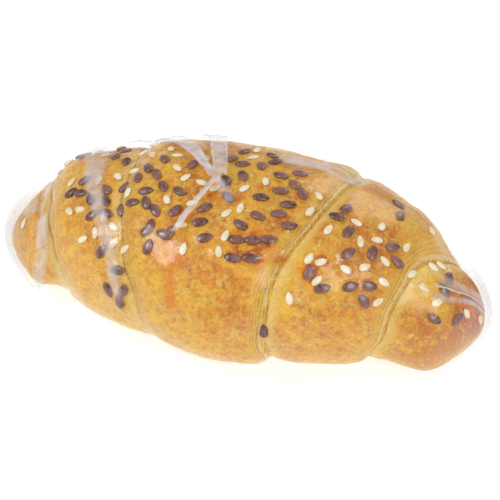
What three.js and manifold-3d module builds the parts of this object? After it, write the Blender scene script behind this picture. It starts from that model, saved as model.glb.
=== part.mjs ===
// A seeded croissant in a clear, taut film wrap.
// Millimetres, +Z up. X runs along the croissant with the right horn at +X, and -Y is its front.
// The origin is the centre of the footprint, on the surface that the wrapped croissant stands on.
import * as THREE from "three";
import { mergeVertices } from "three/addons/utils/BufferGeometryUtils.js";
import Module from "manifold-3d";

const wasm = await Module();
wasm.setup();

// ---- driving dimensions -------------------------------------------------

// Sections of the baked body along X: half width, half height, how far the centre is swept
// back (+Y) or forward (-Y), and how far the section's underside is lifted off the tray.
const BREAD_SECTIONS = [
  { x: -75.6, width: 10.4, height: 9.6, sweep: 1, lift: 1.4 },
  { x: -70, width: 14.8, height: 11.8, sweep: 2, lift: 0.6 },
  { x: -64, width: 19, height: 14.8, sweep: 3, lift: 0 },
  { x: -57, width: 21.8, height: 18.7, sweep: 4.6, lift: 0 },
  { x: -45, width: 27.7, height: 21.4, sweep: 3.4, lift: 0 },
  { x: -25, width: 33.6, height: 25, sweep: 1.3, lift: 0 },
  { x: 0, width: 37.2, height: 25.9, sweep: -0.5, lift: 0 },
  { x: 25, width: 32.4, height: 25.4, sweep: 0.8, lift: 0 },
  { x: 42, width: 26.8, height: 22.4, sweep: 0.2, lift: 0 },
  { x: 51, width: 22.4, height: 19.8, sweep: -0.4, lift: 0 },
  { x: 57, width: 18, height: 17.2, sweep: -3.8, lift: 0 },
  { x: 64, width: 15.8, height: 14.8, sweep: -6, lift: 0 },
  { x: 69, width: 13.4, height: 12.8, sweep: -5.4, lift: 0 },
  { x: 72, width: 10.8, height: 11, sweep: -4.6, lift: 0.3 },
];

// Sections of the film, which spans the valleys between the coils and stands off the horns.
const FILM_SECTIONS = [
  { x: -78.6, width: 14, height: 13, sweep: 1, lift: 1 },
  { x: -71, width: 17.6, height: 14.2, sweep: 2, lift: 0.4 },
  { x: -64, width: 21.4, height: 17, sweep: 3, lift: 0 },
  { x: -57, width: 23.8, height: 20.7, sweep: 4.6, lift: 0 },
  { x: -45, width: 29.7, height: 23.4, sweep: 3.4, lift: 0 },
  { x: -25, width: 35.6, height: 27, sweep: 1.3, lift: 0 },
  { x: 0, width: 39.2, height: 27.9, sweep: -0.5, lift: 0 },
  { x: 25, width: 34.4, height: 27.4, sweep: 0.8, lift: 0 },
  { x: 42, width: 28.8, height: 24.4, sweep: 0.2, lift: 0 },
  { x: 51, width: 24.4, height: 21.8, sweep: -0.4, lift: 0 },
  { x: 57, width: 20, height: 19.2, sweep: -3.8, lift: 0 },
  { x: 64, width: 18, height: 17, sweep: -6, lift: 0 },
  { x: 70, width: 16.4, height: 15.4, sweep: -5.2, lift: 0 },
  { x: 74.6, width: 14.5, height: 14, sweep: -3.8, lift: 0 },
];

const HORN_ROUNDING = 0.8; // share of the half length at which a horn starts to close
const HORN_BLUNTNESS = 2.4; // power of that closing curve
const SEAT = 0.86; // height of a section's centre over its underside, as a share of its half height
const HORN_LEAN = { left: 0.2, right: -0.5 }; // how far the sections turn to face along each horn
const LEAN_REACH = 75; // where that much lean is reached

const DOUGH_END = THREE.MathUtils.degToRad(300); // where the rolled dough ends, under the back
const COILS = {
  left: { flap: 19, pitch: 27 }, // reach of the blunt dough end, and the edge's advance each turn
  right: { flap: 4, pitch: 32 },
};
const CREASE_DEPTH = 2.4; // depth of the valley where one coil laps the next
const LIP_RADIUS = 5.5; // how far in from its edge a coil starts to round over
const CREASE_RISE = 4; // how far the next coil takes to rise out of the valley

const FILM_THICKNESS = 0.4; // thickened from 0.03 so that the film is a sound solid
const FILM_TO_BREAD = 0.3; // gap under the bread
const LAP = { width: 0.6, length: 96, y: 9 }; // the unsealed lap of the film, along the underside

const LINSEED = { length: 4.8, width: 2.8, thickness: 1, point: 0.35 };
const SESAME = { length: 3.4, width: 2.1, thickness: 0.8, point: 0.4 };
const SEED_GAP = 0.15; // gap from a seed to the crust, and at least as much to the film
const SEED_LIFT_MOST = 0.9; // a seed that a lapped edge tips higher than this has rolled off
const SEED_SPACING = 5.2; // centre to centre
const SEED_RUN_UP = 4; // how far back the rays that seat a seed start
const SEED_RANDOM = 7;
const SPREAD_GROWTH = 1.03; // a full group takes this much more room at each try
const SEED_ARC = 34; // mm of crust for each radian of turn, for spreading a group round

// Where the seeds landed: the middle of each group, its turn in degrees, and how many of each.
const SEED_GROUPS = [
  { x: -56, turn: 60, reach: 5, linseed: 1, sesame: 3 },
  { x: -50, turn: 108, reach: 5, linseed: 3, sesame: 2 },
  { x: -40, turn: 118, reach: 6, linseed: 3, sesame: 3 },
  { x: -40, turn: 68, reach: 6, linseed: 2, sesame: 1 },
  { x: -26, turn: 90, reach: 7, linseed: 3, sesame: 4 },
  { x: -18, turn: 103, reach: 6, linseed: 3, sesame: 2 },
  { x: -19, turn: 117, reach: 5, linseed: 3, sesame: 1 },
  { x: -1, turn: 76, reach: 7, linseed: 3, sesame: 1 },
  { x: 6, turn: 94, reach: 7, linseed: 3, sesame: 2 },
  { x: 33, turn: 108, reach: 7, linseed: 2, sesame: 3 },
  { x: 42, turn: 118, reach: 7, linseed: 1, sesame: 3 },
  { x: 60, turn: 105, reach: 5, linseed: 1, sesame: 3 },
];

const GRID = {
  bread: { around: 32, along: 72 },
  film: { around: 32, along: 44 },
  seed: { around: 7, along: 4 },
};

// ---- materials ----------------------------------------------------------

const MATERIALS = {
  crust: new THREE.MeshStandardMaterial({ color: 0xd9a048, roughness: 0.45, metalness: 0 }),
  film: new THREE.MeshStandardMaterial({
    color: 0xf2f4f5,
    roughness: 0.08,
    metalness: 0,
    transparent: true,
    opacity: 0.18,
  }),
  linseed: new THREE.MeshStandardMaterial({ color: 0x5a3a34, roughness: 0.3, metalness: 0 }),
  sesame: new THREE.MeshStandardMaterial({ color: 0xf1e3bd, roughness: 0.5, metalness: 0 }),
};

// ---- curves and helpers -------------------------------------------------

// One field of a section list at x, on a cubic through the sections.
function along(sections, field, x) {
  const last = sections.length - 1;
  const slope = (i) => {
    const [a, b] = [sections[Math.max(i - 1, 0)], sections[Math.min(i + 1, last)]];
    return (b[field] - a[field]) / (b.x - a.x);
  };
  const clamped = THREE.MathUtils.clamp(x, sections[0].x, sections[last].x);
  let i = 0;
  while (i < last - 1 && clamped > sections[i + 1].x) i++;
  const [from, to] = [sections[i], sections[i + 1]];
  const span = to.x - from.x;
  const t = (clamped - from.x) / span;
  return (
    (2 * t ** 3 - 3 * t ** 2 + 1) * from[field] +
    (t ** 3 - 2 * t ** 2 + t) * span * slope(i) +
    (3 * t ** 2 - 2 * t ** 3) * to[field] +
    (t ** 3 - t ** 2) * span * slope(i + 1)
  );
}

// How much of a section is left at x, from 1 along the middle to 0 at a horn's end.
function hornClosing(sections, x) {
  const [low, high] = [sections[0].x, sections[sections.length - 1].x];
  const share = Math.abs((2 * x - low - high) / (high - low));
  const past = Math.max(0, (share - HORN_ROUNDING) / (1 - HORN_ROUNDING));
  return Math.sqrt(Math.max(0, 1 - past ** HORN_BLUNTNESS));
}

// A point of a swept body, whose underside is flattened onto the level called floor.
// turn is 0 at the back, a quarter turn at the top and a half at the front.
function onBody(sections, x, turn, inset, floor) {
  const closing = hornClosing(sections, x);
  const width = Math.max(0, along(sections, "width", x) - inset) * closing;
  const height = Math.max(0, along(sections, "height", x) - inset) * closing;
  const lean = (x > 0 ? HORN_LEAN.right : HORN_LEAN.left) * Math.abs(x / LEAN_REACH) ** 3;
  const across = new THREE.Vector2(-lean, 1).normalize().multiplyScalar(width * Math.cos(turn));
  const centre = along(sections, "height", x) * SEAT + along(sections, "lift", x);
  return new THREE.Vector3(
    x + across.x,
    along(sections, "sweep", x) + across.y,
    Math.max(floor, centre + height * Math.sin(turn)),
  );
}

// How deep the surface lies below the smooth body, from the lapped edges of the rolled dough.
// Each coil's edge runs out along the body as it winds round, so the edges are helices.
function creaseDepth(x, turn) {
  const middle = (COILS.right.flap - COILS.left.flap) / 2;
  const side = x > middle ? COILS.right : COILS.left;
  const pastFlap = (x > middle ? x : -x) - side.flap;
  const wound = THREE.MathUtils.euclideanModulo(DOUGH_END - turn, 2 * Math.PI) / (2 * Math.PI);
  const outward = pastFlap / side.pitch - wound;
  const coil = Math.max(0, Math.ceil(outward));
  const toOwnEdge = (coil - outward) * side.pitch;
  const fromLastEdge = side.pitch - toOwnEdge;
  const over = Math.max(0, 1 - toOwnEdge / LIP_RADIUS);
  const lip = Math.sqrt(1 - over ** 2);
  const rise = coil > 0 ? 1 - Math.exp(-fromLastEdge / CREASE_RISE) : 1;
  return CREASE_DEPTH * (1 - lip * rise);
}

// A sphere with its poles on X, each vertex moved to place(share along, angle round).
function sculpt({ around, along: rings }, place) {
  const sphere = new THREE.SphereGeometry(1, around, rings);
  const { position, uv } = sphere.attributes;
  for (let i = 0; i < position.count; i++) {
    const point = place(uv.getY(i), 2 * Math.PI * uv.getX(i));
    position.setXYZ(i, point.x, point.y, point.z);
  }
  sphere.deleteAttribute("normal");
  sphere.deleteAttribute("uv");
  return mergeVertices(sphere, 1e-4);
}

const solidOf = (geometry) =>
  new wasm.Manifold(
    new wasm.Mesh({
      numProp: 3,
      vertProperties: new Float32Array(geometry.attributes.position.array),
      triVerts: new Uint32Array(geometry.index.array),
    }),
  );

function geometryOf(solid) {
  const { vertProperties, triVerts } = solid.getMesh();
  return new THREE.BufferGeometry()
    .setAttribute("position", new THREE.BufferAttribute(vertProperties, 3))
    .setIndex(new THREE.BufferAttribute(triVerts, 1));
}

// Repeatable random numbers from 0 to 1.
function randomSource(seed) {
  let state = seed;
  return () => {
    state = (Math.imul(state, 1664525) + 1013904223) >>> 0;
    return state / 2 ** 32;
  };
}

const xAt = (sections, share) => {
  const [low, high] = [sections[0].x, sections[sections.length - 1].x];
  return (low + high) / 2 - ((high - low) / 2) * Math.cos(Math.PI * share);
};

// ---- the pieces ---------------------------------------------------------

// A point of the crust. The croissant rests inside the film, a hair above it.
function onBread(x, turn) {
  const depth = creaseDepth(x, turn) * hornClosing(BREAD_SECTIONS, x);
  const point = onBody(BREAD_SECTIONS, x, turn, depth, 0);
  point.z += FILM_THICKNESS + FILM_TO_BREAD;
  return point;
}

function makeBread() {
  return sculpt(GRID.bread, (share, turn) => onBread(xAt(BREAD_SECTIONS, share), turn));
}

// One side of the film, drawn in from the outer one by inset.
function makeFilmSide(inset) {
  const middle = (FILM_SECTIONS[0].x + FILM_SECTIONS[FILM_SECTIONS.length - 1].x) / 2;
  const half = FILM_SECTIONS[FILM_SECTIONS.length - 1].x - middle;
  const side = sculpt(GRID.film, (share, turn) =>
    onBody(FILM_SECTIONS, xAt(FILM_SECTIONS, share), turn, inset, inset),
  );
  side.translate(-middle, 0, 0);
  side.scale(1 - inset / half, 1, 1);
  return side.translate(middle, 0, 0);
}

// The film is one sheet round the croissant, its long edges lapped under it and not sealed.
function makeFilm() {
  const lap = new THREE.BoxGeometry(LAP.length, LAP.width, 6 * FILM_THICKNESS);
  lap.translate(0, LAP.y, 0);
  lap.deleteAttribute("normal");
  lap.deleteAttribute("uv");
  return solidOf(makeFilmSide(0))
    .subtract(solidOf(makeFilmSide(FILM_THICKNESS)))
    .subtract(solidOf(mergeVertices(lap, 1e-4)));
}

// A flat drop: round at one end and drawn to a point at the other.
function makeSeed({ length, width, thickness, point }) {
  return sculpt(GRID.seed, (share, turn) => {
    const lengthwise = -Math.cos(Math.PI * share);
    const girth = Math.sin(Math.PI * share) * (1 - point * lengthwise * share);
    return new THREE.Vector3(
      (lengthwise * length) / 2,
      (girth * Math.cos(turn) * width) / 2,
      (girth * Math.sin(turn) * thickness) / 2,
    );
  });
}

// The matrix that lays a seed on the crust at x and turn, spun about the surface normal.
function onCrust(x, turn, spin) {
  const point = onBread(x, turn);
  const step = 0.04;
  const smooth = (dx, dTurn) => onBody(BREAD_SECTIONS, x + dx, turn + dTurn, 0, 0);
  const lengthwise = smooth(1, 0).sub(smooth(-1, 0)).normalize();
  const round = smooth(0, -step).sub(smooth(0, step));
  const normal = new THREE.Vector3().crossVectors(round, lengthwise).normalize().negate();
  const across = new THREE.Vector3().crossVectors(normal, lengthwise).normalize();
  const flat = new THREE.Matrix4().makeBasis(lengthwise, across, normal);
  return new THREE.Matrix4()
    .setPosition(point)
    .multiply(flat)
    .multiply(new THREE.Matrix4().makeRotationZ(spin));
}

// How far a ray from each corner of a seed travels along a direction before it meets a surface.
function reach(corners, direction, surface) {
  const ray = new THREE.Raycaster();
  return corners.map((corner) => {
    const start = corner.clone().addScaledVector(direction, -SEED_RUN_UP);
    ray.set(start, direction);
    const hits = ray.intersectObject(surface);
    return hits.length > 0 ? hits[0].distance - SEED_RUN_UP : Infinity;
  });
}

// One seed on the crust within reach of a group's middle, or nothing where it finds no room.
// It rests on the facets of the crust, under the film and clear of the seeds already placed.
function dropSeed(geometry, group, spread, random, bread, film, placed) {
  const away = spread * Math.sqrt(random());
  const direction = random() * 2 * Math.PI;
  const x = group.x + away * Math.cos(direction);
  const turn = THREE.MathUtils.degToRad(group.turn) + (away * Math.sin(direction)) / SEED_ARC;
  const place = onCrust(x, turn, random() * 2 * Math.PI);
  const centre = new THREE.Vector3().setFromMatrixPosition(place);
  if (placed.some((other) => other.distanceTo(centre) < SEED_SPACING)) return null;
  const up = new THREE.Vector3().setFromMatrixColumn(place, 2);
  const seed = geometry.clone().applyMatrix4(place);
  const corners = [];
  for (let i = 0; i < seed.attributes.position.count; i++) {
    corners.push(new THREE.Vector3().fromBufferAttribute(seed.attributes.position, i));
  }
  const lift = SEED_GAP - Math.min(...reach(corners, up.clone().negate(), bread));
  if (lift > SEED_LIFT_MOST) return null;
  seed.translate(up.x * lift, up.y * lift, up.z * lift);
  corners.forEach((corner) => corner.addScaledVector(up, lift));
  if (Math.min(...reach(corners, up, film)) < SEED_GAP) return null;
  placed.push(centre);
  return seed;
}

// All the seeds of one kind, group by group.
function strew(kind, shape, random, bread, film, placed) {
  const geometry = makeSeed(shape);
  const laid = [];
  let wanted = 0;
  for (const group of SEED_GROUPS) {
    wanted += group[kind];
    for (let spread = group.reach; laid.length < wanted; spread *= SPREAD_GROWTH) {
      const seed = dropSeed(geometry, group, spread, random, bread, film, placed);
      if (seed) laid.push(seed);
    }
  }
  return laid;
}

// ---- the assembly -------------------------------------------------------

const croissant = new THREE.Group();

function add(name, geometry, material) {
  const mesh = new THREE.Mesh(geometry, material);
  mesh.name = name;
  croissant.add(mesh);
}

add("croissant_body", makeBread(), MATERIALS.crust);
add("film_wrap", geometryOf(makeFilm()), MATERIALS.film);
const [bread] = croissant.children;
const filmInside = new THREE.Mesh(makeFilmSide(FILM_THICKNESS), MATERIALS.film);

const random = randomSource(SEED_RANDOM);
const placed = [];
for (const [name, shape] of Object.entries({ linseed: LINSEED, sesame: SESAME })) {
  const seeds = strew(name, shape, random, bread, filmInside, placed);
  seeds.forEach((seed, i) => add(`${name}_${String(i + 1).padStart(2, "0")}`, seed, MATERIALS[name]));
}

// The footprint's centre is the origin.
const box = new THREE.Box3().setFromObject(croissant, true);
const centre = box.getCenter(new THREE.Vector3());
croissant.position.set(-centre.x, -centre.y, -box.min.z);

export default croissant;
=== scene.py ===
# A seeded croissant in clear film, on a pale studio floor. Metres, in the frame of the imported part.
import math
import random
import bpy
import numpy as np
from mathutils import Matrix, Vector
from mathutils.bvhtree import BVHTree
from mathutils.kdtree import KDTree


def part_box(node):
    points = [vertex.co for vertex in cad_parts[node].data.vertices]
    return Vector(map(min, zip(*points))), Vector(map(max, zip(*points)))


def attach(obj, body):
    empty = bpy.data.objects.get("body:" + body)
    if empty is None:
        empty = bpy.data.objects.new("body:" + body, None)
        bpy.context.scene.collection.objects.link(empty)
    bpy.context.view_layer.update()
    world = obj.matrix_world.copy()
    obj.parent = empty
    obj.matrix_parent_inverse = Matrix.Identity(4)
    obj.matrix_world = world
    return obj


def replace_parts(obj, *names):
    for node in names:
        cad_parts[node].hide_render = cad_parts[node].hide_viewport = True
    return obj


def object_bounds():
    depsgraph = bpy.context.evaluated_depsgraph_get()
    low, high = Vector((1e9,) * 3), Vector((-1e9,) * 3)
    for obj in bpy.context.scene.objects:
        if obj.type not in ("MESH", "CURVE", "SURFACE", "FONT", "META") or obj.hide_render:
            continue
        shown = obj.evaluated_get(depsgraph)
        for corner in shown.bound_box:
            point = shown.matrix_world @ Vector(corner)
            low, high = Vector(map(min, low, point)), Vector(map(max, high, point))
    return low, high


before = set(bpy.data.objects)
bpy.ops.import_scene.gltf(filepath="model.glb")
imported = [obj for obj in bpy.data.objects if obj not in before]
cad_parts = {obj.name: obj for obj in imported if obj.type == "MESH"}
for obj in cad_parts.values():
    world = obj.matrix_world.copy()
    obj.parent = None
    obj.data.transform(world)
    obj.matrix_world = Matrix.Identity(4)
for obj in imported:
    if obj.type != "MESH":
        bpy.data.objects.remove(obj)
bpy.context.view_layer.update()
mm = 0.001


view = {
    "azimuth": 13.7,  # degrees, from straight in front towards the right horn
    "elevation": 45,  # degrees
    "distance": 0.415,  # metres
    "lens": 100,
    "nearest": 0.01,  # metres
    "target": (1.4 * mm, 0.5 * mm, 22 * mm),
    "shift": (0.009, 0.004),
}


def makeCamera():
    azimuth, elevation = math.radians(view["azimuth"]), math.radians(view["elevation"])
    back = Vector((
        math.sin(azimuth) * math.cos(elevation),
        -math.cos(azimuth) * math.cos(elevation),
        math.sin(elevation),
    ))
    camera = bpy.data.objects.new("camera", bpy.data.cameras.new("camera"))
    bpy.context.scene.collection.objects.link(camera)
    camera.location = Vector(view["target"]) + back * view["distance"]
    camera.rotation_euler = back.to_track_quat("Z", "Y").to_euler()
    camera.data.lens = view["lens"]
    camera.data.shift_x, camera.data.shift_y = view["shift"]
    camera.data.clip_start = view["nearest"]
    bpy.context.scene.camera = camera


makeCamera()
print("camera placed")


class Wire:
    # A socket of a material. Reckoning with it adds Math nodes.
    def __init__(self, tree, socket=None):
        self.tree = tree
        self.socket = socket

    def add(self, kind, settings=None, inputs=None, output=0):
        node = self.tree.nodes.new(kind)
        for name, value in (settings or {}).items():
            setattr(node, name, value)
        for name, value in (inputs or {}).items():
            if isinstance(value, Wire):
                self.tree.links.new(value.socket, node.inputs[name])
            else:
                node.inputs[name].default_value = value
        return Wire(self.tree, node.outputs[output])

    def math(self, operation, *values):
        return self.add("ShaderNodeMath", {"operation": operation}, dict(enumerate(values)))

    def __add__(self, other):
        return self.math("ADD", self, other)

    def __sub__(self, other):
        return self.math("SUBTRACT", self, other)

    def __rsub__(self, other):
        return self.math("SUBTRACT", other, self)

    def __mul__(self, other):
        return self.math("MULTIPLY", self, other)

    def __truediv__(self, other):
        return self.math("DIVIDE", self, other)

    def __pow__(self, other):
        return self.math("POWER", self, other)

    __radd__ = __add__
    __rmul__ = __mul__

    # 0 where this is at low, 1 where it is at high, eased between.
    def step(self, low, high):
        inputs = {"Value": self, "From Min": low, "From Max": high}
        return self.add("ShaderNodeMapRange", {"interpolation_type": "SMOOTHSTEP"}, inputs)

    def mix(self, colour, other):
        inputs = {0: self, 6: colour, 7: other}
        return self.add("ShaderNodeMix", {"data_type": "RGBA"}, inputs, 2)


def attribute(wire, name):
    return wire.add("ShaderNodeAttribute", {"attribute_name": name}, output=2)


def noise(wire, place, scale, detail=3, rough=0.5):
    inputs = {"Vector": place, "Scale": scale, "Detail": detail, "Roughness": rough}
    return wire.add("ShaderNodeTexNoise", None, inputs)


def bumps(wire, strength, distance, height):
    inputs = {"Strength": strength, "Distance": distance, "Height": height}
    return wire.add("ShaderNodeBump", None, inputs)


def principled(wire, inputs):
    return wire.add("ShaderNodeBsdfPrincipled", None, inputs)


def mixSurfaces(wire, factor, first, second):
    return wire.add("ShaderNodeMixShader", None, {0: factor, 1: first, 2: second})


# A colour as a screen shows it, in the light's own units.
def shade(red, green, blue):
    parts = [value / 255 for value in (red, green, blue)]
    return tuple(c / 12.92 if c < 0.04 else ((c + 0.055) / 1.055) ** 2.4 for c in parts) + (1,)


def newMaterial(name):
    material = bpy.data.materials.new(name)
    material.use_nodes = True
    material.node_tree.nodes.clear()
    return material, Wire(material.node_tree)


def finishMaterial(wire, surface):
    output = wire.tree.nodes.new("ShaderNodeOutputMaterial")
    wire.tree.links.new(surface.socket, output.inputs["Surface"])


# The swept body that crust and film share.
bodyShape = {
    "rounding": 0.8,  # share of the half length at which a horn starts to close
    "bluntness": 2.4,
    "seat": 0.86,  # height of a section's centre, as a share of its half height
    "lean": (0.2, -0.5),  # how far the sections turn to face along the left and right horn
    "leanReach": 75,  # mm from the middle at which they have leant that far
    "arc": 34,  # mm around the body for each radian of turn
    "axisHeight": 20 * mm,
    "bread": [  # x, half width, half height, sweep back, lift, in mm
        (-75.6, 10.4, 9.6, 1, 1.4),
        (-70, 14.8, 11.8, 2, 0.6),
        (-64, 19, 14.8, 3, 0),
        (-57, 21.8, 18.7, 4.6, 0),
        (-45, 27.7, 21.4, 3.4, 0),
        (-25, 33.6, 25, 1.3, 0),
        (0, 37.2, 25.9, -0.5, 0),
        (25, 32.4, 25.4, 0.8, 0),
        (42, 26.8, 22.4, 0.2, 0),
        (51, 22.4, 19.8, -0.4, 0),
        (57, 18, 17.2, -3.8, 0),
        (64, 15.8, 14.8, -6, 0),
        (69, 13.4, 12.8, -5.4, 0),
        (72, 10.8, 11, -4.6, 0.3),
    ],
    "film": [
        (-78, 13, 12, 1, 1.2),
        (-71, 16.6, 13.2, 2, 0.6),
        (-64, 20.4, 16, 3, 0),
        (-57, 22.8, 19.7, 4.6, 0),
        (-45, 28.7, 22.4, 3.4, 0),
        (-25, 34.6, 26, 1.3, 0),
        (0, 38.2, 26.9, -0.5, 0),
        (25, 33.4, 26.4, 0.8, 0),
        (42, 27.8, 23.4, 0.2, 0),
        (51, 23.4, 20.8, -0.4, 0),
        (57, 19, 18.2, -3.8, 0),
        (64, 17, 16, -6, 0),
        (70, 15.4, 14.4, -5.2, 0),
        (74, 13.5, 13, -3.8, 0.2),
    ],
}


# One column of a section list at each x, on a cubic through the sections.
def sectionAt(sections, column, x):
    places = np.array([row[0] for row in sections], float)
    values = np.array([row[column] for row in sections], float)
    last = len(sections) - 1
    before = np.maximum(np.arange(last + 1) - 1, 0)
    after = np.minimum(np.arange(last + 1) + 1, last)
    slope = (values[after] - values[before]) / (places[after] - places[before])
    x = np.clip(x, places[0], places[-1])
    i = np.clip(np.searchsorted(places, x) - 1, 0, last - 1)
    span = places[i + 1] - places[i]
    t = (x - places[i]) / span
    return (
        (2 * t**3 - 3 * t**2 + 1) * values[i]
        + (t**3 - 2 * t**2 + t) * span * slope[i]
        + (3 * t**2 - 2 * t**3) * values[i + 1]
        + (t**3 - t**2) * span * slope[i + 1]
    )


def hornClosing(sections, x):
    low, high = sections[0][0], sections[-1][0]
    share = np.abs((2 * x - low - high) / (high - low))
    past = np.maximum(0, (share - bodyShape["rounding"]) / (1 - bodyShape["rounding"]))
    return np.sqrt(np.maximum(0, 1 - past ** bodyShape["bluntness"]))


# Points of a swept body in mm. turn is 0 at the back, a quarter at the top, a half at the front.
def onBody(sections, x, turn, inset):
    closing = hornClosing(sections, x)
    width = np.maximum(0, sectionAt(sections, 1, x) - inset) * closing
    height = np.maximum(0, sectionAt(sections, 2, x) - inset) * closing
    left, right = bodyShape["lean"]
    lean = np.where(x > 0, right, left) * np.abs(x / bodyShape["leanReach"]) ** 3
    norm = np.hypot(lean, 1)
    centre = sectionAt(sections, 2, x) * bodyShape["seat"] + sectionAt(sections, 4, x)
    return np.stack([
        x - lean / norm * width * np.cos(turn),
        sectionAt(sections, 3, x) + width * np.cos(turn) / norm,
        np.maximum(0, centre + height * np.sin(turn)),
    ], -1)


# A smooth random field of the given wavelength, from -1 to 1 or so, as a sum of plane waves.
def ripple(points, wavelength, seed, waves=14):
    source = np.random.RandomState(seed)
    directions = source.normal(size=(waves, 3))
    directions /= np.linalg.norm(directions, axis=1)[:, None]
    phases = source.uniform(0, 2 * math.pi, waves)
    lengths = wavelength * source.uniform(0.7, 1.4, waves)
    total = sum(
        np.sin(points @ direction * 2 * math.pi / length + phase)
        for direction, length, phase in zip(directions, lengths, phases)
    )
    return total / math.sqrt(waves)


def ease(value, low, high):
    t = np.clip((value - low) / (high - low), 0, 1)
    return t * t * (3 - 2 * t)


crust = {
    "around": 300,
    "along": 330,
    "doughEnd": math.radians(300),  # the turn at which the dough's blunt end lies
    "left": (19, 27),  # reach of the blunt dough end, and the edge's advance each turn, in mm
    "right": (4, 32),
    "wobble": ((0.7, 3, 30), (0.35, 8, 9)),  # of the edges: mm, waves around, mm for a radian
    "tilt": (3.2, 120, (28, 42)),  # of the right edges: mm, degrees, and the x where it fades
    "bow": (6.5, 105, (42, 54)),  # of the left edges
    "creaseDepth": 2.4,
    "lipRadius": 6.5,
    "creaseRise": 4.2,
    "uncreased": 99,  # mm from an edge, for the middle coil that lies over all others
    "layerGap": 1.1,  # mm between the stretched layers along a coil's edge
    "layerRise": 0.09,
    "layerFade": (3, 7),  # mm from the edge between which the layers fade
    "sunk": -0.2,  # mm under the smooth body
    "depthLimits": (-0.6, 9),  # mm
    "lumps": ((26, 0.45), (10, 0.2), (4, 0.1), (1.9, 0.04)),  # wavelength and height in mm
    # Glaze that browned to caramel: x, turn in degrees, and its reach along and around in mm.
    "caramel": [
        (2, 119, 3.6, 3.6),
        (6.5, 119, 4.2, 4),
        (10.5, 120, 4, 3.2),
        (7, 127, 7, 2.6),
        (14, 128, 2.6, 2),
        (24.3, 134, 3.4, 4.6),
        (27, 127, 3.2, 2.4),
        (-9, 99, 1.6, 1.6),
        (65, 90, 3.6, 4.2),
        (68.5, 82, 3.6, 4.6),
    ],
    # A drip of syrup: x and turn where it starts and ends, and its half widths in mm.
    "drip": (-16.6, 123, -13.2, 163, 0.3, 2.1),
    "dripStrength": 0.78,
    "arcPerHeight": 1.2,  # how far a radian reaches over the front, in half heights
    "tint": {
        "golden": shade(248, 182, 44),
        "baked": shade(222, 130, 20),
        "blister": shade(190, 96, 14),
        "straw": shade(250, 200, 70),
        "vein": shade(255, 224, 112),
        "toasted": shade(200, 106, 30),
        "paleLowSides": shade(252, 204, 90),
        "darkFleck": shade(200, 112, 18),
        "paleFleck": shade(255, 212, 80),
        "darkGrain": shade(190, 100, 12),
        "paleGrain": shade(255, 214, 110),
        "band": shade(255, 208, 92),
        "stripe": shade(214, 132, 30),
        "crest": shade(255, 230, 158),
        "stretched": shade(255, 222, 130),
        "creaseShade": shade(216, 130, 34),
        "syrup": shade(244, 142, 0),
        "burnt": shade(150, 66, 0),
    },
}
coilMiddle = (crust["right"][0] - crust["left"][0]) / 2


# How far the coils' edges stray from true helices, which they do most beside the middle.
def coilStray(x, turn):
    wobble = sum(rise * np.sin(waves * turn + x / run) for rise, waves, run in crust["wobble"])
    rise, degrees, fade = crust["tilt"]
    tilt = rise * np.cos(2 * turn - math.radians(degrees)) * (1 - ease(x, *fade))
    rise, degrees, fade = crust["bow"]
    bow = (1 - rise * (1 - np.cos(turn - math.radians(degrees)))) * (1 - ease(-x, *fade))
    return wobble - np.where(x > coilMiddle, tilt, bow)


# Where a spot lies among the coils, in mm: from its own coil's edge, and from the last one's.
def coilPlace(x, turn):
    right = x > coilMiddle
    flap = np.where(right, crust["right"][0], crust["left"][0])
    pitch = np.where(right, crust["right"][1], crust["left"][1])
    wound = np.mod(crust["doughEnd"] - turn, 2 * math.pi) / (2 * math.pi)
    outward = (np.where(right, x, -x) - flap + coilStray(x, turn)) / pitch - wound
    coil = np.maximum(0, np.ceil(outward))
    toOwnEdge = (coil - outward) * pitch
    fromLastEdge = np.where(coil > 0, pitch - toOwnEdge, crust["uncreased"])
    return toOwnEdge, fromLastEdge


# How deep the crust lies in the valley beside an edge, in mm.
def valleyDepth(toOwnEdge, fromLastEdge):
    over = np.clip(1 - toOwnEdge / crust["lipRadius"], 0, 1)
    rise = 1 - np.exp(-fromLastEdge / crust["creaseRise"])
    return crust["creaseDepth"] * (1 - np.sqrt(1 - over**2) * rise)


def crustPoints(x, turn):
    smooth = onBody(bodyShape["bread"], x, turn, 0)
    toOwnEdge, fromLastEdge = coilPlace(x, turn)
    depth = crust["sunk"] + valleyDepth(toOwnEdge, fromLastEdge)
    swing = ripple(smooth, 20, 5) * 2.6 + ripple(smooth, 6, 6)
    layers = np.sin(2 * math.pi * toOwnEdge / crust["layerGap"] + swing)
    shown = 1 - ease(toOwnEdge, *crust["layerFade"])
    depth = depth - crust["layerRise"] * layers * ease(toOwnEdge, 0.2, 1.2) * shown
    for seed, (wavelength, height) in enumerate(crust["lumps"]):
        depth = depth + height * ripple(smooth, wavelength, seed)
    inset = np.clip(depth, *crust["depthLimits"]) * hornClosing(bodyShape["bread"], x)
    return onBody(bodyShape["bread"], x, turn, inset), fromLastEdge, toOwnEdge


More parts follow.
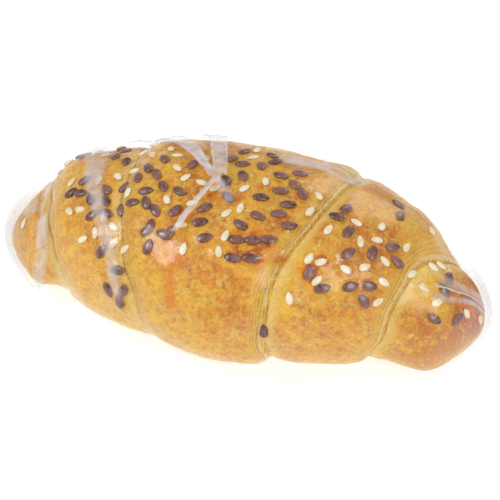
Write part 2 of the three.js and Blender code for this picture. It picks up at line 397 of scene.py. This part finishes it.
# How far the glaze browned to caramel, between 0 and 1.
def caramelMask(x, turn, smooth):
    ragged = 0.2 * ripple(smooth, 5, 21) + 0.12 * ripple(smooth, 2.2, 22)
    mask = np.zeros_like(x)
    for place, degrees, reachAlong, reachAround in crust["caramel"]:
        radius = sectionAt(bodyShape["bread"], 2, x) * crust["arcPerHeight"]
        arc = (turn - math.radians(degrees)) * radius
        away = np.hypot((x - place) / reachAlong, arc / reachAround)
        mask = np.maximum(mask, 1 - ease(away + ragged, 0.45, 1.25))
    startX, startTurn, endX, endTurn, startWidth, endWidth = crust["drip"]
    share = (np.degrees(turn) - startTurn) / (endTurn - startTurn)
    run = np.clip(share, 0, 1)
    away = np.abs(x - startX - (endX - startX) * run)
    width = startWidth + (endWidth - startWidth) * run**1.5
    between = np.abs(share - 0.5) < 0.5
    drip = crust["dripStrength"] * (1 - ease(away, width * 0.8, width * 1.25)) * between
    return np.maximum(mask, drip)


# A sphere with its poles on X, with its vertices' shares along and turns round.
def addRound(name, around, along):
    bpy.ops.object.select_all(action="DESELECT")
    bpy.ops.mesh.primitive_uv_sphere_add(segments=around, ring_count=along, radius=1)
    piece = bpy.context.object
    piece.name = piece.data.name = name
    bpy.ops.object.mode_set(mode="EDIT")
    bpy.ops.mesh.select_all(action="SELECT")
    bpy.ops.transform.rotate(value=math.pi / 2, orient_axis="Y", center_override=(0, 0, 0))
    bpy.ops.object.mode_set(mode="OBJECT")
    bpy.ops.object.shade_smooth()
    places = np.empty(len(piece.data.vertices) * 3)
    piece.data.vertices.foreach_get("co", places)
    places = places.reshape(-1, 3)
    share = np.arccos(np.clip(-places[:, 0], -1, 1)) / math.pi
    turn = np.mod(np.arctan2(places[:, 2], places[:, 1]), 2 * math.pi)
    return piece, share, turn


# The x at a share of the way along, closer together at the horns' ends.
def xAt(sections, share):
    low, high = sections[0][0], sections[-1][0]
    return (low + high) / 2 - (high - low) / 2 * np.cos(math.pi * share)


def placeVertices(piece, points):
    piece.data.vertices.foreach_set("co", points.ravel())
    piece.data.update()


def paint(piece, name, values):
    piece.data.attributes.new(name, "FLOAT", "POINT").data.foreach_set("value", values)


# From the body's own mm to the part's metres, set so that the smooth bread fills its CAD box.
def frameShift():
    share, turn = np.meshgrid(np.linspace(0, 1, 241), np.linspace(0, 2 * math.pi, 241))
    x = xAt(bodyShape["bread"], share.ravel())
    points = onBody(bodyShape["bread"], x, turn.ravel(), 0)
    low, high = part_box("croissant_body")
    middle = (np.array(low) + np.array(high)) / 2
    shift = middle - (points.min(0) + points.max(0)) / 2 * mm
    shift[2] = low[2] - points[:, 2].min() * mm
    return shift


shift = frameShift()


def makeCrust():
    piece, share, turn = addRound("crust", crust["around"], crust["along"])
    x = xAt(bodyShape["bread"], share)
    points, fromLastEdge, toOwnEdge = crustPoints(x, turn)
    smooth = onBody(bodyShape["bread"], x, turn, 0)
    placeVertices(piece, points * mm + shift)
    paint(piece, "layer", np.minimum(fromLastEdge, 30))  # beyond it nothing shows
    paint(piece, "lip", toOwnEdge)
    paint(piece, "caramel", caramelMask(x, turn, smooth))
    paint(piece, "facing", np.sin(turn))
    degrees = np.degrees(turn)
    onTop = 1 - ease(degrees, 110, 170)
    inFront = ease(degrees, 122, 185) * (1 - ease(degrees, 230, 300))
    paint(piece, "toast", 0.85 * ease(x, 48, 62) + 0.4 * ease(x, 14, 30) * onTop)
    paint(piece, "pale", inFront * (0.35 + 0.65 * ease(-x, 0, 30)))
    return piece


def crustMaterial():
    material, wire = newMaterial("bakedCrust")
    tint = crust["tint"]
    place = wire.add("ShaderNodeTexCoord", output=3)
    layer, lip = attribute(wire, "layer"), attribute(wire, "lip")
    caramel, facing = attribute(wire, "caramel"), attribute(wire, "facing")
    toast, pale = attribute(wire, "toast"), attribute(wire, "pale")
    broad = noise(wire, place, 45, 3, 0.55)
    medium = noise(wire, place, 130, 5, 0.68)
    fine = noise(wire, place, 520, 5, 0.68)
    grain = noise(wire, place, 1150, 4, 0.65)

    # Golden, toasted in patches, with pale veins where the surface stretched.
    bake = broad * 0.55 + medium * 0.65
    colour = bake.step(0.5, 0.76).mix(tint["golden"], tint["baked"])
    blister = medium.step(0.52, 0.7) * fine.step(0.42, 0.6) * 0.6
    colour = blister.mix(colour, tint["blister"])
    straw = (1 - broad).step(0.44, 0.66) * fine.step(0.34, 0.62) * 0.55
    colour = straw.mix(colour, tint["straw"])
    veins = 0
    for scale, strength in ((95, 0.75), (260, 0.6)):
        bent = noise(wire, place, scale, 3, 0.6) - 0.5
        veins = (1 - bent.math("ABSOLUTE", bent).step(0.004, 0.028)) * strength + veins
    colour = (veins * fine.step(0.36, 0.6)).mix(colour, tint["vein"])
    colour = (toast * broad.step(0.34, 0.58)).mix(colour, tint["toasted"])
    # Paler on the sides that face down and on the lower front, most towards the left.
    low = 1 - facing.step(-0.7, 0.1)
    paleLowSides = low * 0.4 + pale * broad.step(0.3, 0.6) * 0.7
    colour = paleLowSides.mix(colour, tint["paleLowSides"])
    colour = (fine.step(0.5, 0.64) * 0.45).mix(colour, tint["darkFleck"])
    colour = ((1 - fine).step(0.52, 0.66) * 0.6).mix(colour, tint["paleFleck"])
    colour = (grain.step(0.56, 0.7) * 0.5).mix(colour, tint["darkGrain"])
    colour = ((1 - grain).step(0.56, 0.68) * 0.5).mix(colour, tint["paleGrain"])

    # The layers of dough show along a coil's edge, and a painted shade darkens the valley beside it.
    swing = medium * 6 + broad * 3
    stripes = lip * 7.2 + swing
    stripes = stripes.math("SINE", stripes) * 0.5 + 0.5
    band = 1 - (lip + broad * 6).step(4.2, 9)
    colour = (band * 0.7).mix(colour, tint["band"])
    stripe = band * stripes.step(0.3, 0.95) * fine.step(0.35, 0.6) * 0.6
    colour = stripe.mix(colour, tint["stripe"])
    crest = (1 - (lip + medium * 2.4).step(1.5, 2.7)) * fine.step(0.25, 0.5) * 0.8
    colour = crest.mix(colour, tint["crest"])
    spread = 1 - (layer + broad * 3).step(2.6, 6)
    colour = (spread * fine.step(0.2, 0.5) * 0.75).mix(colour, tint["stretched"])
    # Painted shade: darker along the bottom of the crease between the coils.
    creaseShade = 1 - (layer + fine * 0.5).step(0.3, 0.9)
    colour = (creaseShade * 0.5).mix(colour, tint["creaseShade"])

    syrup = caramel * (0.7 + fine * 0.45)
    colour = syrup.math("MINIMUM", syrup, 0.95).mix(colour, tint["syrup"])
    burnt = caramel.step(0.8, 1) * medium.step(0.42, 0.6) * 0.7
    colour = burnt.mix(colour, tint["burnt"])

    rough = 0.46 - medium * 0.14 - caramel * 0.2
    relief = fine * 0.55 + grain * 0.3 + medium * 0.8 + band * stripes * 0.5
    relief = relief - creaseShade * 0.6 + veins * 0.25
    bump = bumps(wire, 1, 0.7 * mm, relief)
    inputs = {
        "Base Color": colour,
        "Roughness": rough,
        "Normal": bump,
        "Coat Weight": medium.step(0.45, 0.6) * 0.35 + caramel * 0.1,
        "Coat Roughness": 0.16,
    }
    finishMaterial(wire, principled(wire, inputs))
    return material


crustPiece = makeCrust()
crustPiece.data.materials.append(crustMaterial())
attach(crustPiece, "root")
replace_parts(crustPiece, "croissant_body")
print("crust made")


seeds = {
    "seed": 11,
    "spacing": 4.1 * mm,
    "sunk": 0.2,  # share of its thickness that the glaze holds
    "around": 14,
    "along": 10,
    "above": 4 * mm,  # from where each is let down onto the crust
    "tries": 90,
    "linseed": {"length": 4.7, "width": 3.1, "thickness": 1.35, "point": 0.3},
    "sesame": {"length": 3.6, "width": 2.4, "thickness": 1.1, "point": 0.4},
    "coats": {  # darkest and palest colour, scale of the grain, and roughness
        "linseed": (shade(74, 38, 32), shade(150, 108, 100), 1100, 0.24),
        "sesame": (shade(242, 218, 158), shade(255, 250, 226), 900, 0.42),
    },
    # More seeds than the CAD part holds: x, turn in degrees, reach in mm, linseeds and sesames.
    "groups": [
        (-57, 52, 5, 2, 3),
        (-50, 108, 5, 1, 2),
        (-42, 119, 4, 1, 2),
        (-37, 138, 4, 1, 3),
        (-39, 101, 5, 2, 1),
        (-41, 62, 6, 3, 2),
        (-28, 82, 6, 1, 3),
        (-19, 84, 6, 1, 3),
        (-24, 103, 6, 3, 2),
        (-16, 101, 5, 1, 1),
        (-8, 99, 5, 2, 2),
        (0, 68, 6, 3, 1),
        (4, 82, 5, 3, 2),
        (6, 97, 7, 3, 2),
        (-2, 111, 5, 4, 2),
        (14, 92, 4, 2, 2),
        (33, 106, 7, 2, 2),
        (41, 106, 5, 2, 2),
        (41, 132, 6, 3, 2),
        (46, 68, 6, 2, 1),
        (59, 112, 5, 0, 2),
    ],
    # Seeds that lie apart or in a row, as kind, x, turn and spin in degrees.
    "strays": [
        ("linseed", 2.2, 120, 4),
        ("linseed", 6.6, 119.5, 4),
        ("linseed", 10.9, 118.5, 4),
        ("sesame", -1.2, 119, 80),
        ("linseed", 2.2, 129, -6),
        ("linseed", 7, 128.5, -6),
        ("sesame", -2, 127, 110),
        ("linseed", 15.4, 110, 10),
        ("linseed", 14, 76, 0),
        ("linseed", 23.7, 134, 80),
        ("linseed", 28.4, 142, 20),
        ("sesame", 22.9, 126.5, 60),
        ("sesame", 26.4, 127.5, 25),
        ("sesame", 26.4, 138, 50),
        ("linseed", -23.4, 123, 95),
        ("linseed", -22.6, 134, 85),
        ("linseed", -17.2, 124, 80),
        ("sesame", -12, 130, 95),
        ("linseed", -31.9, 152, 10),
        ("linseed", -34.2, 167, -60),
        ("linseed", -29.6, 165, 60),
        ("linseed", -30.4, 174, 95),
        ("linseed", 13.8, 172, 100),
        ("sesame", 19.5, 149, 100),
        ("linseed", 60.7, 88, -70),
        ("linseed", 61.8, 134, 0),
        ("linseed", 67, 122, 60),
        ("sesame", 57.7, 81, 0),
        ("sesame", 71, 84, 0),
        ("sesame", -70, 112, 70),
    ],
}


def makeSeed(name, size):
    piece, share, _ = addRound(name, seeds["around"], seeds["along"])
    bpy.ops.object.mode_set(mode="EDIT")
    bpy.ops.mesh.select_all(action="SELECT")
    scale = tuple(size[side] / 2 * mm for side in ("length", "width", "thickness"))
    bpy.ops.transform.resize(value=scale, center_override=(0, 0, 0))
    bpy.ops.object.mode_set(mode="OBJECT")
    for vertex, part in zip(piece.data.vertices, share):
        taper = 1 - size["point"] * part**1.6
        vertex.co.y *= taper
        vertex.co.z *= taper
    return piece


# The matrix that lays a seed flat on the crust where a ray from above its place meets it.
def seatOn(tree, centre, lengthwise, up, thickness):
    hit, normal, _, _ = tree.ray_cast(centre + up * seeds["above"], -up)
    normal = (normal + up).normalized()
    lengthwise = (lengthwise - normal * lengthwise.dot(normal)).normalized()
    across = normal.cross(lengthwise)
    turned = Matrix((lengthwise, across, normal)).transposed().to_4x4()
    return Matrix.Translation(hit + normal * thickness * (0.5 - seeds["sunk"])) @ turned


# Whether a direction at a place leads in towards the body's long axis.
def leadsIn(direction, place):
    return direction.dot(Vector(place) - Vector((place[0], 0, bodyShape["axisHeight"]))) < 0


# Where a CAD seed lies: its middle, the way its long axis runs, and its flat side's normal.
def cadSeedPlace(node):
    places = np.array([vertex.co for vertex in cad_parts[node].data.vertices])
    centre = places.mean(0)
    axes = np.linalg.svd(places - centre, full_matrices=False)[2]
    up = Vector(axes[2])
    if leadsIn(up, centre):
        up.negate()
    return Vector(centre), Vector(axes[0]), up


# The same for a place given by x, turn and spin, with the slopes taken between spots beside it.
def crustPlace(x, turn, spin):
    along, around = 0.8, 0.03
    spots = np.array([
        (x, turn),
        (x + along, turn),
        (x - along, turn),
        (x, turn + around),
        (x, turn - around),
    ])
    points = onBody(bodyShape["bread"], spots[:, 0], spots[:, 1], 0) * mm + shift
    lengthwise = Vector(points[1] - points[2]).normalized()
    up = lengthwise.cross(Vector(points[3] - points[4])).normalized()
    if leadsIn(up, points[0]):
        up.negate()
    across = up.cross(lengthwise)
    return Vector(points[0]), lengthwise * math.cos(spin) + across * math.sin(spin), up


def seedMaterial(name, dark, pale, scale, rough):
    material, wire = newMaterial(name)
    place = wire.add("ShaderNodeTexCoord", output=3)
    blend = noise(wire, place, 170, 2) * 0.7 + noise(wire, place, scale, 3) * 0.5
    colour = blend.step(0.36, 0.74).mix(dark, pale)
    bump = bumps(wire, 0.25, 0.1 * mm, noise(wire, place, scale))
    inputs = {"Base Color": colour, "Roughness": rough, "Normal": bump}
    finishMaterial(wire, principled(wire, inputs))
    return material


seedMaterials = {
    kind: seedMaterial(kind + "Coat", *coat) for kind, coat in seeds["coats"].items()
}
seedPatterns = {kind: makeSeed(kind + "Pattern", seeds[kind]) for kind in seedMaterials}
placedSeeds = []


def addSeed(name, kind, matrix):
    mesh = seedPatterns[kind].data.copy()
    mesh.transform(matrix)
    mesh.materials.append(seedMaterials[kind])
    piece = bpy.data.objects.new(name, mesh)
    mesh.name = name
    bpy.context.scene.collection.objects.link(piece)
    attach(piece, "root")
    placedSeeds.append(matrix.translation.copy())
    return piece


def addAllSeeds():
    tree = BVHTree.FromObject(crustPiece, bpy.context.evaluated_depsgraph_get())
    for node in sorted(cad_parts):
        kind = node.split("_")[0]
        if kind in seedMaterials:
            matrix = seatOn(tree, *cadSeedPlace(node), seeds[kind]["thickness"] * mm)
            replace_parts(addSeed("coat_" + node, kind, matrix), node)
    for number, (kind, x, degrees, spin) in enumerate(seeds["strays"]):
        spot = crustPlace(x, math.radians(degrees), math.radians(spin))
        matrix = seatOn(tree, *spot, seeds[kind]["thickness"] * mm)
        addSeed(f"stray_{kind}_{number + 1:02d}", kind, matrix)
    source = random.Random(seeds["seed"])
    for number, (x, degrees, reach, linseeds, sesames) in enumerate(seeds["groups"]):
        for kind, wanted in (("linseed", linseeds), ("sesame", sesames)):
            laid = 0
            for attempt in range(seeds["tries"]):
                away = reach * math.sqrt(source.random()) * (1 + attempt / seeds["tries"])
                direction = source.uniform(0, 2 * math.pi)
                turn = math.radians(degrees) + away * math.sin(direction) / bodyShape["arc"]
                spot = crustPlace(x + away * math.cos(direction), turn, source.uniform(0, math.pi))
                if laid == wanted:
                    break
                if min((spot[0] - other).length for other in placedSeeds) < seeds["spacing"]:
                    continue
                matrix = seatOn(tree, *spot, seeds[kind]["thickness"] * mm)
                laid += 1
                addSeed(f"extra_{kind}_{number + 1:02d}_{laid}", kind, matrix)


addAllSeeds()
for pattern in seedPatterns.values():
    bpy.data.objects.remove(pattern)
print("seeds laid:", len(placedSeeds))


film = {
    "around": 300,
    "along": 328,
    "slack": ((34, 0.2), (12, 0.07)),  # wavelength and height in mm
    "room": 0.8,  # mm that it stands off for the seeds
    "follow": 0.45,  # how far it sinks into the valleys between the coils
    "valleyReach": 4.5,  # mm
    "seedLift": 0.6,  # mm that a seed tents the film
    "holeGap": (14, 12),  # mm between the pin holes, along and around
    "seedReach": 2.6,  # mm
    "hole": (0.18, 0.3),  # mm from a hole's middle between which it ends
    "rim": (0.2, 0.3, 0.4, 0.52),  # mm between which its pale rim comes and goes
    "crisp": (0.3, 0.02),  # mm over which a fold's edge fades, and the share over which an end does
    "soft": (2.1, 0.12),
    "foot": 0.8,  # mm beside a fold over which it falls off
    "behind": 45,  # folds that start at a smaller turn come in slowly
    # Folds: x and turn at each end, half width in mm at each end, ridge in mm, and whiteness, which
    # is partly milky doubled film and partly painted sheen and highlight lines.
    "folds": [
        # The pleat over the top, gathered in a knot, with two strands running down from it.
        (-45, 20, -10, 90, 6.4, 0.6, 0.3, 0.62),
        (-52, 20, -10.5, 90, 0.25, 0.2, 0.5, 0.72),
        (-37, 20, -10, 90, 0.2, 0.2, 0.4, 0.72),
        (-20.5, 20, -8, 88, 3, 1.6, 0.35, 0.6),
        (-24, 20, -9.5, 88, 0.2, 0.2, 0.5, 0.75),
        (-16.5, 20, -6.2, 88, 0.2, 0.2, 0.4, 0.72),
        (-9.5, 85, -8, 94, 1.5, 0.9, 0.6, 0.7),
        (-9, 92, -16, 123, 0.45, 0.3, 0.7, 0.62),
        (-8.2, 92, -15.2, 122, 0.15, 0.15, 0.5, 0.8),
        (-7.5, 92, -2.4, 102, 0.25, 0.15, 0.4, 0.5),
        # Leaf-shaped creases drawn towards the tied left end.
        (-63, 62, -62.6, 118, 0.7, 0.3, 0.4, 0.55),
        (-60.5, 70, -63.5, 112, 0.5, 0.25, 0.5, 0.66),
        (-62, 118, -61, 150, 0.5, 1.2, 0.3, 0.5),
        (-61, 150, -63, 200, 1.3, 0.9, 0.3, 0.5),
        (-60, 152, -63.4, 208, 0.25, 0.25, 0.6, 0.75),
        (-73, 150, -65, 198, 0.3, 0.3, 0.6, 0.8),
        (-72.5, 168, -65.5, 202, 0.25, 0.25, 0.6, 0.8),
        (-69, 170, -64.5, 200, 0.5, 0.2, 0.4, 0.6),
        (-70, 66, -67, 110, 1.8, 1.2, 0.3, 0.4),
        # A painted reflection over the left shoulder, as a cloudy stretch.
        (-51, 56, -45, 108, 3.4, 1.4, 0.15, 0.48),
        (-45, 104, -37, 134, 1.2, 0.8, 0.15, 0.48),
        (-37, 130, -30, 168, 0.9, 0.4, 0.1, 0.36),
        # Painted sheen along the top edge on the right, and the sheet pulled flat over the right
        # horn.
        (8, 66, 31, 69, 2, 1.6, 0.1, 0.5),
        (59, 108, 73, 84, 0.25, 0.35, 0.6, 0.7),
        (59, 100, 73, 78, 0.9, 1.1, 0.2, 0.34),
        (60, 116, 73, 90, 0.2, 0.2, 0.4, 0.5),
        (64.5, 48, 74, 70, 1.2, 3.6, 0.3, 0.5),
        (66, 64, 74, 84, 0.2, 0.2, 0.5, 0.7),
    ],
}


# Where a fold starts, the way it runs, and its length, with the turn unrolled to mm.
def foldLine(fold):
    start = np.array((fold[0], math.radians(fold[1]) * bodyShape["arc"]))
    run = np.array((fold[2], math.radians(fold[3]) * bodyShape["arc"])) - start
    length = float(np.linalg.norm(run))
    return start.tolist(), (run / length).tolist(), length


# How high the folds stand, in mm.
def foldRidges(x, turn):
    ridge = np.zeros_like(x)
    around = turn * bodyShape["arc"]
    for fold in film["folds"]:
        start, run, length = foldLine(fold)
        startWidth, endWidth, height, _ = fold[4:]
        share = ((x - start[0]) * run[0] + (around - start[1]) * run[1]) / length
        off = np.abs((x - start[0]) * run[1] - (around - start[1]) * run[0])
        inside = ease(share, -0.02, 0.05) * (1 - ease(share, 0.95, 1.02))
        slope = np.clip(1 - off / (max(startWidth, endWidth) + film["foot"]), 0, 1)
        ridge = np.maximum(ridge, height * inside * slope)
    return ridge


# How white the folds are, between 0 and 1: partly milky doubled film, partly painted sheen and
# highlight lines.
def foldVeilAndSheen(along, around):
    veilAndSheen = along * 0
    for fold in film["folds"]:
        origin, run, length = foldLine(fold)
        startWidth, endWidth, _, white = fold[4:]
        fromX, fromTurn = along - origin[0], around - origin[1]
        share = (fromX * run[0] + fromTurn * run[1]) / length
        off = fromX * run[1] - fromTurn * run[0]
        width = share * (endWidth - startWidth) + startWidth
        edge, fade = film["crisp"] if white > 0.5 else film["soft"]
        strip = 1 - off.math("ABSOLUTE", off).step(width, width + edge)
        start = (0, 0.4) if fold[1] < film["behind"] else (-fade, fade)
        inside = share.step(*start) * (1 - share.step(1 - fade, 1 + fade))
        strip = strip * inside * white
        veilAndSheen = veilAndSheen.math("MAXIMUM", veilAndSheen, strip)
    return veilAndSheen


def makeFilm():
    piece, share, turn = addRound("film", film["around"], film["along"])
    sections = bodyShape["film"]
    x = xAt(sections, share)
    smooth = onBody(sections, x, turn, 0)
    slack = sum(
        height * (1 + ripple(smooth, wavelength, 30 + number))
        for number, (wavelength, height) in enumerate(film["slack"])
    )
    nearest = np.minimum(*coilPlace(x, turn))
    valley = crust["creaseDepth"] * np.exp(-((nearest / film["valleyReach"]) ** 2))
    inset = slack - film["room"] + film["follow"] * valley - foldRidges(x, turn)
    points = onBody(sections, x, turn, inset * hornClosing(sections, x)) * mm
    points += np.array((shift[0], shift[1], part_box("film_wrap")[0][2]))
    tree = KDTree(len(placedSeeds))
    for number, spot in enumerate(placedSeeds):
        tree.insert(spot, number)
    tree.balance()
    away = np.array([tree.find(point)[2] for point in points]) / mm
    outward = points * (0, 1, 1) - (0, 0, bodyShape["axisHeight"])
    outward /= np.linalg.norm(outward, axis=1)[:, None]
    lift = film["seedLift"] * mm * np.exp(-((away / film["seedReach"]) ** 2))
    points += outward * lift[:, None] * (turn < math.pi)[:, None]
    placeVertices(piece, points)
    paint(piece, "filmAlong", x)
    paint(piece, "filmAround", turn * bodyShape["arc"])
    return piece


def filmMaterial():
    material, wire = newMaterial("clearFilm")
    along, around = attribute(wire, "filmAlong"), attribute(wire, "filmAround")
    place = wire.add("ShaderNodeTexCoord", output=3)
    cloud = noise(wire, place, 60, 3)
    crinkle = noise(wire, place, 240, 3)
    bend = (crinkle - 0.5) * 0.9 + (cloud - 0.5) * 2
    veilAndSheen = foldVeilAndSheen(along + bend, around + bend * 0.6)

    # Pin holes in staggered rows.
    gapAlong, gapAround = film["holeGap"]
    row = around / gapAround + along * 0.031
    stagger = along / gapAlong + row.math("FLOOR", row) * 0.37 + 50
    offAlong = (stagger.math("FRACT", stagger) - 0.5) * gapAlong
    offAround = (row.math("FRACT", row) - 0.5) * gapAround
    away = (offAlong * offAlong + offAround * offAround) ** 0.5
    hole = 1 - away.step(*film["hole"])
    rim = away.step(*film["rim"][:2]) * (1 - away.step(*film["rim"][2:]))

    clear = wire.add("ShaderNodeBsdfTransparent", None, {"Color": (0.995, 0.995, 0.995, 1)})
    bump = bumps(wire, 0.2, 0.6 * mm, cloud + crinkle * 0.4)
    inputs = {"Base Color": (1, 1, 1, 1), "Metallic": 1, "Roughness": 0.14, "Normal": bump}
    gloss = principled(wire, inputs)
    inputs = {"Base Color": (0.78, 0.78, 0.8, 1), "Roughness": 0.25, "Normal": bump}
    milkAndSheen = principled(wire, inputs)
    inputs = {"Base Color": (0.22, 0.08, 0.02, 1), "Specular IOR Level": 0}
    shadow = principled(wire, inputs)
    mirror = wire.add("ShaderNodeFresnel", None, {"IOR": 1.42})
    mirror = mirror.math("MINIMUM", mirror, 0.3) * 0.6
    surface = mixSurfaces(wire, mirror, clear, gloss)
    # A pale diffuse surface is mixed in: partly milky doubled and gathered film, partly painted sheen
    # and highlight lines along the folds.
    horns = (-1.4 - along).step(66, 77) * 0.4 + along.step(66, 76) * 0.16
    patchy = cloud.step(0.3, 0.6) * 0.45 + crinkle.step(0.35, 0.6) * 0.35 + 0.35
    hazeAndSheen = horns + veilAndSheen * patchy + rim * 0.25
    surface = mixSurfaces(wire, hazeAndSheen.math("MINIMUM", hazeAndSheen, 0.85), surface, milkAndSheen)
    surface = mixSurfaces(wire, hole * 0.85, surface, shadow)
    finishMaterial(wire, surface)
    return material


filmPiece = makeFilm()
filmPiece.data.materials.append(filmMaterial())
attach(filmPiece, "root")
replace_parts(filmPiece, "film_wrap")
print("film drawn over")


studio = {
    "floorSize": 6,  # metres
    "floorShade": (0.4, 0.4, 0.4, 1),
    "floorGlow": 0.78,
    "skyStrength": 0.32,
    "lamps": [  # place, size and watts
        ("keyLamp", (-0.8, -0.35, 0.95), 0.5, 7),
        ("fillLamp", (0.8, -0.6, 0.75), 0.5, 4.6),
        ("backLamp", (0.25, 0.75, 0.5), 0.4, 1.6),
        ("glintLamp", (0.4, -0.25, 0.85), 0.08, 0.45),
    ],
}


def makeStudio():
    bpy.ops.object.select_all(action="DESELECT")
    bpy.ops.mesh.primitive_plane_add(size=studio["floorSize"], location=(0, 0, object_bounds()[0][2]))
    floor = bpy.context.object
    floor.name = "floor"
    bpy.ops.object.transform_apply(location=True)
    material, wire = newMaterial("paleFloor")
    inputs = {
        "Base Color": studio["floorShade"],
        "Roughness": 0.9,
        "Emission Color": (1, 1, 1, 1),
        "Emission Strength": studio["floorGlow"],
    }
    finishMaterial(wire, principled(wire, inputs))
    floor.data.materials.append(material)
    world = bpy.data.worlds.new("studioSky")
    world.use_nodes = True
    sky = world.node_tree.nodes["Background"]
    sky.inputs["Strength"].default_value = studio["skyStrength"]
    sky.inputs["Color"].default_value = (1, 1, 1, 1)
    bpy.context.scene.world = world
    for name, place, size, watts in studio["lamps"]:
        lamp = bpy.data.objects.new(name, bpy.data.lights.new(name, "AREA"))
        lamp.data.size, lamp.data.energy = size, watts
        lamp.location = place
        lamp.rotation_euler = Vector(place).to_track_quat("Z", "Y").to_euler()
        bpy.context.scene.collection.objects.link(lamp)
    bpy.context.scene.view_settings.view_transform = "Standard"


makeStudio()
print("studio lit")
